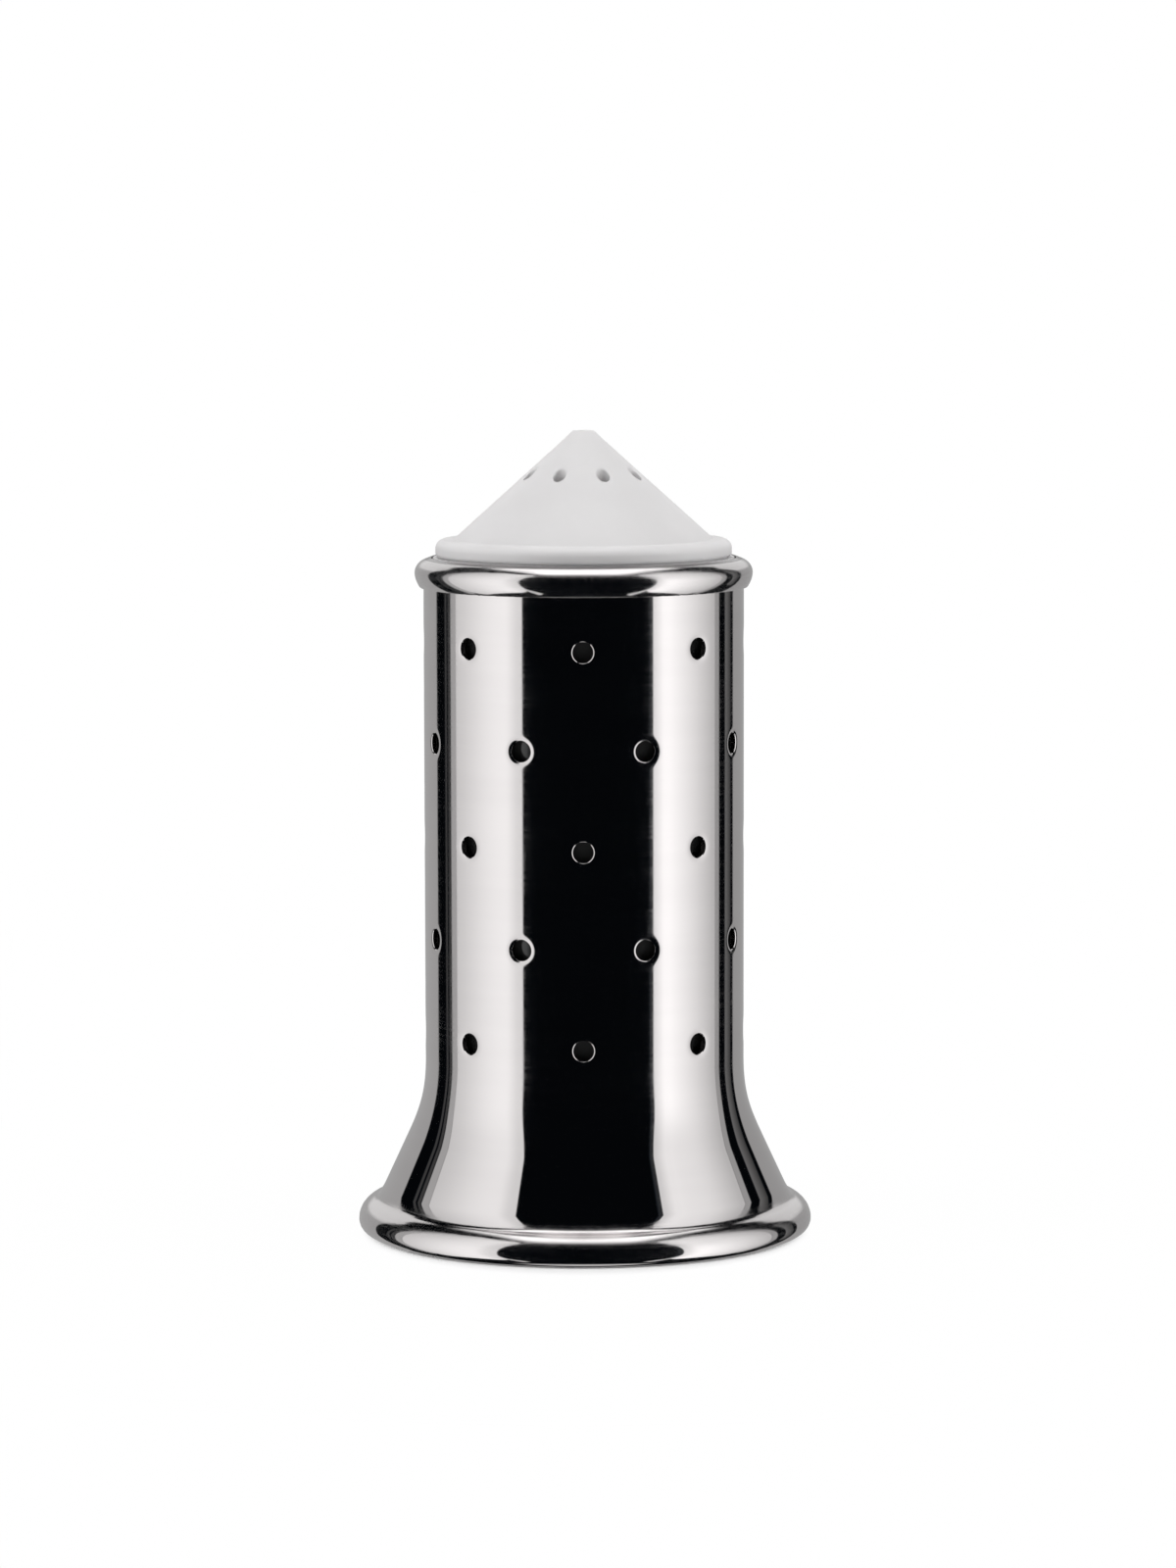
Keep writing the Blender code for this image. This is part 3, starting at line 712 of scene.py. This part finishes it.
def make_cap():
    b = Builder()
    n = 96
    k = 1.0 / math.hypot(1.0, CONE_RATIO)
    cone_n = (k, CONE_RATIO * k)                       # outward normal of the cone's outside
    inner_a, outer_a = 4.6, 10.9                       # band of the cone that holds the salt holes
    # tip and upper cone
    tip = [(0.0, CAP_TOP, 0.0, 1.0), (0.55, CAP_TOP, 0.0, 1.0)]
    tip += rounded([(0.5, CAP_TOP, 0.0), (TIP_R + 0.14, CAP_TOP, 0.42), (inner_a, cone_z(inner_a), 0.0)],
                   step=6.0, closed=False)[1:-1]
    for i in range(1, 5):
        r = CONE_TOP_R + 0.3 + (inner_a - CONE_TOP_R - 0.3) * i / 4.0
        tip.append((r, cone_z(r), *cone_n))
    top_rings = lathe(b, tip, closed=False, count=n, clock=CAP_CLOCK)
    # lower cone, flange and skirt
    flange_top = FLANGE_Z + FLANGE_B
    low = [(outer_a, cone_z(outer_a), *cone_n), (13.0, cone_z(13.0), *cone_n), (15.0, cone_z(15.0), *cone_n)]
    low += rounded([(15.2, cone_z(15.2), 0.0), (15.2 + (cone_z(15.2) - flange_top) * CONE_RATIO, flange_top, 0.55),
                    (FLANGE_R, flange_top, 0.0)], step=4.0, closed=False)[1:-1]
    low += ellipse(FLANGE_R, FLANGE_Z, FLANGE_A, FLANGE_B, 0.0, math.pi / 2.0, 20)
    wall = rounded([(FLANGE_R + FLANGE_A, FLANGE_Z, 0.0), (FLANGE_R + FLANGE_A, FLANGE_LOW, 0.36),
                    (STEP_R, FLANGE_LOW, 0.04), (STEP_R, GUIDE_HIGH, 0.04), (GUIDE_R, GUIDE_HIGH, 0.03),
                    (GUIDE_R, STEP_LOW, 0.06), (SKIRT_OUT, STEP_LOW, 0.25),
                    (SKIRT_OUT, SKIRT_BOTTOM, 0.3), (SKIRT_IN, SKIRT_BOTTOM, 0.3),
                    (SKIRT_IN, cone_z(SKIRT_IN, CAP_WALL), 0.8), (outer_a, cone_z(outer_a, CAP_WALL), 0.0)],
                   closed=False)
    low += fine(wall[1:-1], SKIRT_BOTTOM, STEP_LOW, 0.12)

    def thread(r, z, a):
        if abs(r - SKIRT_OUT) < 0.05 and z < STEP_LOW - 0.3:
            return r + (CAP_CREST - SKIRT_OUT) * ridge(z, a, CAP_THREAD_Z, CAP_THREAD_TURNS), z
        return r, z

    low.append((outer_a, cone_z(outer_a, CAP_WALL), -cone_n[0], -cone_n[1]))
    low_rings = lathe(b, low, closed=False, shape=thread, count=n, clock=CAP_CLOCK)
    inner_tip = [(inner_a, cone_z(inner_a, CAP_WALL), -cone_n[0], -cone_n[1])]
    inner_tip += rounded([(inner_a, cone_z(inner_a, CAP_WALL), 0.0), (0.7, cone_z(0.7, CAP_WALL), 0.5),
                          (0.0, cone_z(0.7, CAP_WALL), 0.0)], closed=False)[1:-1]
    inner_tip.append((0.0, cone_z(0.7, CAP_WALL), 0.0, -1.0))
    in_rings = lathe(b, inner_tip, closed=False, count=n, clock=CAP_CLOCK)
    # band with the salt holes: eight cells, each from the band's edges to a hole's rim
    per = n // 8
    side = 8
    edge_top, edge_low = top_rings[-1], low_rings[0]
    inside_low, inside_top = low_rings[-1], in_rings[0]
    spokes = {}

    def spoke(idx, inside):
        """Vertices up one radial border of a cell, shared by its two neighbours."""
        idx %= n
        if (idx, inside) in spokes:
            return spokes[(idx, inside)]
        a = CAP_CLOCK + 2.0 * math.pi * idx / n
        first = (inside_top if inside else edge_top)[idx]
        last = (inside_low if inside else edge_low)[idx]
        pts = [first]
        for i in range(1, side):
            r = inner_a + (outer_a - inner_a) * i / side
            sign = -1.0 if inside else 1.0
            z = cone_z(r, CAP_WALL if inside else 0.0)
            pts.append(b.vert(polar(r, a, z), polar(sign * cone_n[0], a, sign * cone_n[1])))
        pts.append(last)
        spokes[(idx, inside)] = pts
        return pts

    for cell in range(8):
        i0, i1 = cell * per, (cell + 1) * per
        ac = CAP_CLOCK + 2.0 * math.pi * (cell + 0.5) / 8.0
        hx, hy = SALT_RING * math.sin(ac), -SALT_RING * math.cos(ac)

        def loop(inside):
            upper = inside_top if inside else edge_top
            lower = inside_low if inside else edge_low
            pts = [upper[i % n] for i in range(i0, i1)]
            pts += spoke(i1, inside)[:-1]
            pts += [lower[i % n] for i in range(i1, i0, -1)]
            pts += list(reversed(spoke(i0, inside)))[:-1]
            return pts

        out_loop, in_loop = loop(False), loop(True)
        ang = [math.atan2(b.co[v][1] - hy, b.co[v][0] - hx) for v in out_loop]
        soft = 0.22

        def plan_ring(fac, loop_pts, rad, inset, drop, tilt, inside):
            ring = []
            for v, t in zip(loop_pts, ang):
                cx, cy = hx + rad * math.cos(t), hy + rad * math.sin(t)
                x = b.co[v][0] * fac + cx * (1 - fac)
                y = b.co[v][1] * fac + cy * (1 - fac)
                r = math.hypot(x, y)
                z = cone_z(r, inset) - drop
                az = math.atan2(x, -y)
                base = Vector(polar(cone_n[0], az, cone_n[1]))
                if inside:
                    base = -base
                toward = Vector((-math.cos(t), -math.sin(t), 0.0))
                nn = (base * math.cos(tilt) + toward * math.sin(tilt)).normalized()
                ring.append(b.vert((x, y, z), tuple(nn)))
            return ring

        rings = [out_loop]
        for f in (0.75, 0.5, 0.28, 0.1):
            rings.append(plan_ring(f, out_loop, SALT_R + soft, 0.0, 0.0, 0.0, False))
        for i in range(0, 7):
            e = math.pi / 2.0 * i / 6.0
            rings.append(plan_ring(0.0, out_loop, SALT_R + soft * (1.0 - math.sin(e)), 0.0,
                                   soft * (1.0 - math.cos(e)), e, False))
        for d in (0.9, 1.5, 2.1, 2.6):
            rings.append(plan_ring(0.0, out_loop, SALT_R, 0.0, d, math.pi / 2.0, False))
        rings.append(plan_ring(0.0, in_loop, SALT_R + 0.12, CAP_WALL, 0.0, 0.0, True))
        for f in (0.5,):
            rings.append(plan_ring(f, in_loop, SALT_R + 0.12, CAP_WALL, 0.0, 0.0, True))
        rings.append(in_loop)
        for p, q in zip(rings[:-1], rings[1:]):
            b.strip(q, p)
    return b.make("cone_cap", WHITE, own_normals=False)


# ---------------------------------------------------------------------- seal, disc and screw

def make_seal():
    b = Builder()
    section = rounded([(SEAL_OUT, SEAL_HIGH, 0.14), (SEAL_OUT, SEAL_LOW, 0.14),
                       (SEAL_IN + 1.9, SEAL_LOW, 0.3), (SEAL_IN + 1.7, SEAL_LOW + 0.12, 0.3),
                       (SEAL_IN + 1.3, SEAL_LOW + 0.12, 0.3), (SEAL_IN + 1.1, SEAL_LOW, 0.3),
                       (SEAL_IN, SEAL_LOW, 0.14), (SEAL_IN, SEAL_HIGH, 0.14)])
    lathe(b, section)
    return b.make("seal_gasket", SEAL)


def make_disc():
    b = Builder()
    rim_hi, rim_lo = flare_line(WALL, DISC_TOP) - DISC_GAP, flare_line(WALL, DISC_LOW) - DISC_GAP
    section = rounded([
        (rim_hi, DISC_TOP, 0.3), (rim_lo, DISC_LOW, 0.35), (23.6, DISC_LOW, 0.3), (23.0, DISC_FACE, 0.3),
        (17.4, DISC_FACE, 0.15), (17.2, DISC_FACE + 0.3, 0.15), (16.4, DISC_FACE + 0.3, 0.15), (16.2, DISC_FACE, 0.15),
        (CBORE_R + 1.0, DISC_FACE, 0.2), (CBORE_R + 0.8, DISC_FACE - 0.25, 0.1), (CBORE_R, DISC_FACE - 0.25, 0.12),
        (CBORE_R, CBORE_TOP, 0.15), (BORE_R, CBORE_TOP, 0.1), (BORE_R, HUB_TOP, 0.15),
        (HUB_R, HUB_TOP, 0.3), (HUB_R + 0.8, DISC_TOP, 0.5)])
    lathe(b, section)
    return b.make("base_plate", BASE)


def make_screw():
    b = Builder()
    section = rounded([
        (0.0, SCREW_TIP, 0.0), (0.4, SCREW_TIP, 0.1), (SCREW_R - 0.25, SCREW_TIP - 1.4, 0.3),
        (SCREW_R - 0.25, HEAD_TOP, 0.15), (HEAD_R, HEAD_TOP, 0.12), (HEAD_R, HEAD_LOW + 0.55, 0.35),
        (HEAD_R - 0.75, HEAD_LOW, 0.6), (0.0, HEAD_LOW, 0.0)], closed=False)
    section[0] = (0.0, SCREW_TIP, 0.0, 1.0)
    section[-1] = (0.0, HEAD_LOW, 0.0, -1.0)
    section = fine(section, HEAD_TOP, SCREW_TIP, 0.1)

    def shank_thread(r, z, a):
        if abs(r - (SCREW_R - 0.25)) < 0.02 and HEAD_TOP + 0.6 < z < SCREW_TIP - 1.4:
            turn = (z / 0.8 - a / (2.0 * math.pi)) % 1.0
            return r + 0.24 * (1.0 - abs(2.0 * turn - 1.0)), z
        return r, z

    lathe(b, section, closed=False, count=48, shape=shank_thread)
    screw = b.make("base_screw_part", SCREW, own_normals=False)
    # cross recess, tapered
    mesh = bpy.data.meshes.new("recess_tool")
    bm = bmesh.new()
    for turn in (0.0, math.pi / 2.0):
        made = bmesh.ops.create_cube(bm, size=1.0)
        for v in made["verts"]:
            deep = v.co.z > 0.0
            v.co.x *= (1.4 if deep else 3.6)
            v.co.y *= (0.55 if deep else 0.95)
            v.co.z = HEAD_LOW + (0.95 if deep else -0.4)
            v.co = Matrix.Rotation(turn, 3, "Z") @ v.co
    bmesh.ops.scale(bm, vec=(MM, MM, MM), verts=bm.verts)
    bm.to_mesh(mesh)
    bm.free()
    tool = bpy.data.objects.new("recess_tool", mesh)
    bpy.context.scene.collection.objects.link(tool)
    mod = screw.modifiers.new("recess", "BOOLEAN")
    mod.operation, mod.solver, mod.use_self, mod.object = "DIFFERENCE", "EXACT", True, tool
    bpy.context.view_layer.update()
    graph = bpy.context.evaluated_depsgraph_get()
    cut = bpy.data.meshes.new_from_object(screw.evaluated_get(graph))
    screw.modifiers.clear()
    screw.data = cut
    cut.shade_smooth()
    cut.set_sharp_from_angle(angle=math.radians(38.0))
    bpy.data.objects.remove(tool, do_unlink=True)
    return screw


PLAN = (
    (make_sleeve, "sleeve", "shell", "polished_steel"),
    (make_collar, "collar", "shell", "polished_steel"),
    (make_container, "container", "shell", "dark_plastic"),
    (make_disc, "base_disc", "shell", "dark_plastic"),
    (make_screw, "base_screw", "shell", "screw_steel"),
    (make_cap, "cap", "cap", "white_plastic"),
    (make_seal, "seal_ring", "seal", "seal_rubber"),
)
for make, node, body, slot in PLAN:
    piece = make()
    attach(piece, body)
    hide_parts(node)


# --------------------------------------------------------------------------- floor and light

def make_floor():
    bm = bmesh.new()
    bmesh.ops.create_circle(bm, cap_ends=True, segments=128, radius=0.6)
    mesh = bpy.data.meshes.new("floor")
    bm.to_mesh(mesh)
    bm.free()
    floor = bpy.data.objects.new("floor", mesh)
    bpy.context.scene.collection.objects.link(floor)
    floor.location.z = -0.00002
    mat = bpy.data.materials.new("pale_floor")
    mat.use_nodes = True
    g = Graph(mat.node_tree)
    nodes = mat.node_tree.nodes
    nodes.remove(nodes["Principled BSDF"])
    co = g.node("ShaderNodeTexCoord").outputs["Object"]
    dist = g.node("ShaderNodeVectorMath", operation="LENGTH")
    g.put(dist.inputs[0], co)
    fade = g.ramp(dist.outputs["Value"], 0.06, 0.45)
    diffuse = g.node("ShaderNodeBsdfDiffuse")
    tone = g.noise(co, 40.0, 2.0)
    g.put(diffuse.inputs["Color"], g.mix(tone, (0.93, 0.93, 0.93, 1.0), (0.95, 0.95, 0.95, 1.0)))
    glow = g.node("ShaderNodeEmission")
    glow.inputs["Color"].default_value = (1.0, 1.0, 1.0, 1.0)
    glow.inputs["Strength"].default_value = 1.0
    base = g.node("ShaderNodeMixShader")
    # round the foot the floor only shows the shadow that falls on it; farther out it glows evenly
    near = g.node("ShaderNodeVectorMath", operation="LENGTH")
    shift = g.node("ShaderNodeVectorMath", operation="ADD")
    g.put(shift.inputs[0], g.stretch(co, (1.07, 1.0, 1.0)))
    shift.inputs[1].default_value = (0.0, 0.003, 0.0)
    g.put(near.inputs[0], shift.outputs[0])
    g.put(base.inputs[0], g.ramp(near.outputs["Value"], 0.0263, 0.0301, 0.0, 0.98))
    g.put(base.inputs[1], diffuse.outputs[0])
    g.put(base.inputs[2], glow.outputs[0])
    clear = g.node("ShaderNodeBsdfTransparent")
    both = g.node("ShaderNodeMixShader")
    g.put(both.inputs[0], fade)
    g.put(both.inputs[1], base.outputs[0])
    g.put(both.inputs[2], clear.outputs[0])
    g.put(nodes["Material Output"].inputs["Surface"], both.outputs[0])
    mesh.materials.append(mat)
    floor.visible_glossy = False
    return floor


def make_world():
    """Studio light: two tall soft boxes, a soft box overhead, dark cards between them."""
    world = bpy.data.worlds.new("studio")
    bpy.context.scene.world = world
    world.use_nodes = True
    world.cycles.sampling_method = "NONE"
    g = Graph(world.node_tree)
    nodes = world.node_tree.nodes
    back = nodes["Background"]
    co = g.node("ShaderNodeTexCoord").outputs["Generated"]
    sep = g.node("ShaderNodeSeparateXYZ")
    g.put(sep.inputs[0], co)
    x, y, z = sep.outputs
    deg = 180.0 / math.pi
    az = g.math("MULTIPLY_ADD", g.math("ARCTAN2", x, g.math("MULTIPLY", y, -1.0)), deg, 0.31)
    el = g.math("MULTIPLY", g.math("ARCSINE", z), deg)

    def panel(u, v, u0, u1, v0, v1, corner, soft):
        """1 inside a rounded rectangle, 0 outside, with a soft edge."""
        qu = g.math("SUBTRACT", g.math("ABSOLUTE", g.math("SUBTRACT", u, (u0 + u1) / 2.0)), (u1 - u0) / 2.0 - corner)
        qv = g.math("SUBTRACT", g.math("ABSOLUTE", g.math("SUBTRACT", v, (v0 + v1) / 2.0)), (v1 - v0) / 2.0 - corner)
        au, av = g.math("MAXIMUM", qu, 0.0), g.math("MAXIMUM", qv, 0.0)
        far = g.math("SQRT", g.math("ADD", g.math("MULTIPLY", au, au), g.math("MULTIPLY", av, av)))
        near = g.math("MINIMUM", g.math("MAXIMUM", qu, qv), 0.0)
        d = g.math("SUBTRACT", g.math("ADD", far, near), corner)
        return g.ramp(d, -soft, soft, 1.0, 0.0)

    total = 0.0024

    def add(mask, level):
        nonlocal total
        total = g.math("ADD", total, g.math("MULTIPLY", mask, level))

    # left soft box: brightest a little in from its inner edge, greyer towards its outer side
    left = panel(az, el, -104.6, -44.4, -49.0, 60.5, 12.0, 0.5)
    tone = g.math("MULTIPLY", g.ramp(az, -112.0, -58.0, 0.76, 1.19), g.ramp(az, -58.0, -46.5, 1.0, 0.79))
    add(left, g.math("MULTIPLY", tone, g.ramp(el, 0.0, 45.0, 1.0, 0.90)))
    # right soft box: a hot spot near its inner edge, falling off evenly
    right = panel(az, el, 51.6, 109.5, -49.0, 60.5, 12.0, 0.5)
    tone = g.math("MULTIPLY", g.ramp(az, 65.0, 107.0, 1.37, 0.64, "LINEAR"), g.ramp(az, 52.0, 61.0, 0.76, 1.0))
    cool = g.math("MULTIPLY", g.ramp(el, 0.0, 34.0), g.ramp(az, 62.0, 92.0, 0.20, 0.03))
    add(right, g.math("MULTIPLY", tone, g.math("SUBTRACT", 1.0, cool)))
    add(panel(az, el, 48.4, 51.8, -45.0, 56.0, 1.2, 0.9), 0.030)
    # rims of the boxes and what stands behind them
    add(panel(az, el, -110.9, -104.8, -45.0, 54.0, 2.5, 0.5), 0.46)
    add(panel(az, el, -118.6, -116.2, -44.0, 50.0, 0.8, 0.5), 0.055)
    add(panel(az, el, -114.4, -111.8, -44.0, 50.0, 0.8, 0.5), 0.055)
    add(panel(az, el, 109.7, 114.7, -45.0, 54.0, 2.0, 0.5), 0.39)
    card = panel(az, el, 123.0, 132.0, -22.0, 26.0, 2.5, 0.6)
    add(card, g.ramp(az, 123.0, 132.0, 0.17, 0.045, "LINEAR"))
    far = g.math("SUBTRACT", g.math("MINIMUM", g.math("ABSOLUTE", az), 162.0), 131.0)
    wall = g.ramp(g.math("MULTIPLY_ADD", far, 0.365, el), 17.0, 22.0, 0.0, 0.36)
    add(panel(az, el, -240.0, -131.4, -40.0, 36.0, 8.0, 0.7),
        g.math("ADD", wall, g.ramp(az, -180.0, -150.0, 0.395, 0.42)))
    add(panel(az, el, 136.4, 240.0, -40.0, 36.0, 8.0, 0.7),
        g.math("ADD", wall, g.ramp(az, 150.0, 180.0, 0.37, 0.395)))
    # the dark gap between the boxes has rounded upper corners and runs on straight below
    middle, half = 3.6, 48.0
    off = g.math("SUBTRACT", g.math("ABSOLUTE", g.math("SUBTRACT", az, middle)), g.ramp(el, -32.0, -62.0, half, half - 7.5))
    gap = g.math("MULTIPLY", g.ramp(off, -0.8, 0.8, 1.0, 0.0),
                 panel(az, el, middle - half, middle + half, -220.0, 66.0, 13.0, 0.8))
    down = g.math("MAXIMUM", g.math("MULTIPLY", z, -1.0), 0.001)
    aisle = g.ramp(g.math("ABSOLUTE", g.math("DIVIDE", x, down)), 0.42, 0.44, 1.0, 0.0)
    gap = g.math("MAXIMUM", gap, g.math("MULTIPLY", aisle, g.ramp(el, -48.0, -52.0)))
    near = panel(az, el, middle - half - 1.0, middle + half + 1.0, -78.0, 62.0, 1.0, 0.8)
    near = g.math("MULTIPLY", near, g.math("SUBTRACT", 1.0, g.math("MAXIMUM", left, right)))
    add(g.math("MULTIPLY", near, g.math("SUBTRACT", 1.0, gap)), 0.85)
    # dim ceiling, and the overhead soft box on a plane above
    add(g.ramp(el, 64.0, 74.0), 0.13)
    up = g.math("MAXIMUM", z, 0.001)
    px, py = g.math("DIVIDE", x, up), g.math("DIVIDE", y, up)
    over = g.math("MULTIPLY", panel(px, py, -0.35, 0.35, -1.60, 1.00, 0.10, 0.10), g.ramp(py, -0.60, 0.02))
    add(g.math("MULTIPLY", over, g.ramp(z, 0.05, 0.3)), 1.55)
    # pale table below
    add(g.ramp(el, -70.0, -78.0), 0.62)

    # what lights the soft surfaces: the same boxes, with a wide light overhead
    dome = g.math("MULTIPLY_ADD", g.ramp(el, 50.0, 62.0), g.ramp(y, -0.5, 0.5, 2.0, 2.4, "LINEAR"), 0.05)
    dome = g.math("MULTIPLY_ADD", left, 1.22, dome)
    dome = g.math("MULTIPLY_ADD", right, 1.22, dome)
    dome = g.math("MULTIPLY_ADD", g.ramp(el, -2.0, -8.0), 0.85, dome)

    path = g.node("ShaderNodeLightPath").outputs
    seen = g.node("ShaderNodeMix", data_type="FLOAT")
    g.put(seen.inputs[0], path["Is Glossy Ray"])
    g.put(seen.inputs[2], dome)
    g.put(seen.inputs[3], total)
    final = g.node("ShaderNodeMix", data_type="FLOAT")
    g.put(final.inputs[0], path["Is Camera Ray"])
    g.put(final.inputs[2], seen.outputs[0])
    final.inputs[3].default_value = 1.0
    g.put(back.inputs["Strength"], final.outputs[0])
    g.put(back.inputs["Color"], g.mix(g.ramp(final.outputs[0], 0.0, 0.05),
                                      (0.72, 0.95, 1.30, 1.0), (1.0, 1.0, 1.0, 1.0)))


def make_camera():
    cam = bpy.data.cameras.new("camera")
    obj = bpy.data.objects.new("camera", cam)
    bpy.context.scene.collection.objects.link(obj)
    focal, dist, height = 5731.4, 696.5 * MM, 129.27 * MM
    pitch, turn, roll = math.radians(6.016), math.radians(0.35), math.radians(-0.117)
    yaw = math.atan(4.0 / focal)
    cam.sensor_fit = "AUTO"
    cam.sensor_width = 36.0
    cam.lens = 36.0 * focal / 1600.0
    cam.clip_start, cam.clip_end = 0.01, 10.0
    obj.location = (dist * math.sin(turn), -dist * math.cos(turn), height)
    aim = Matrix.Rotation(turn - yaw, 3, "Z") @ Matrix.Rotation(math.pi / 2.0 - pitch, 3, "X")
    obj.rotation_euler = (aim @ Matrix.Rotation(roll, 3, "Z")).to_euler()
    bpy.context.scene.camera = obj


make_floor()
make_world()
make_camera()
view = bpy.context.scene.view_settings
view.view_transform = "Standard"
view.look = "None"
view.exposure = 0.0
view.gamma = 1.0
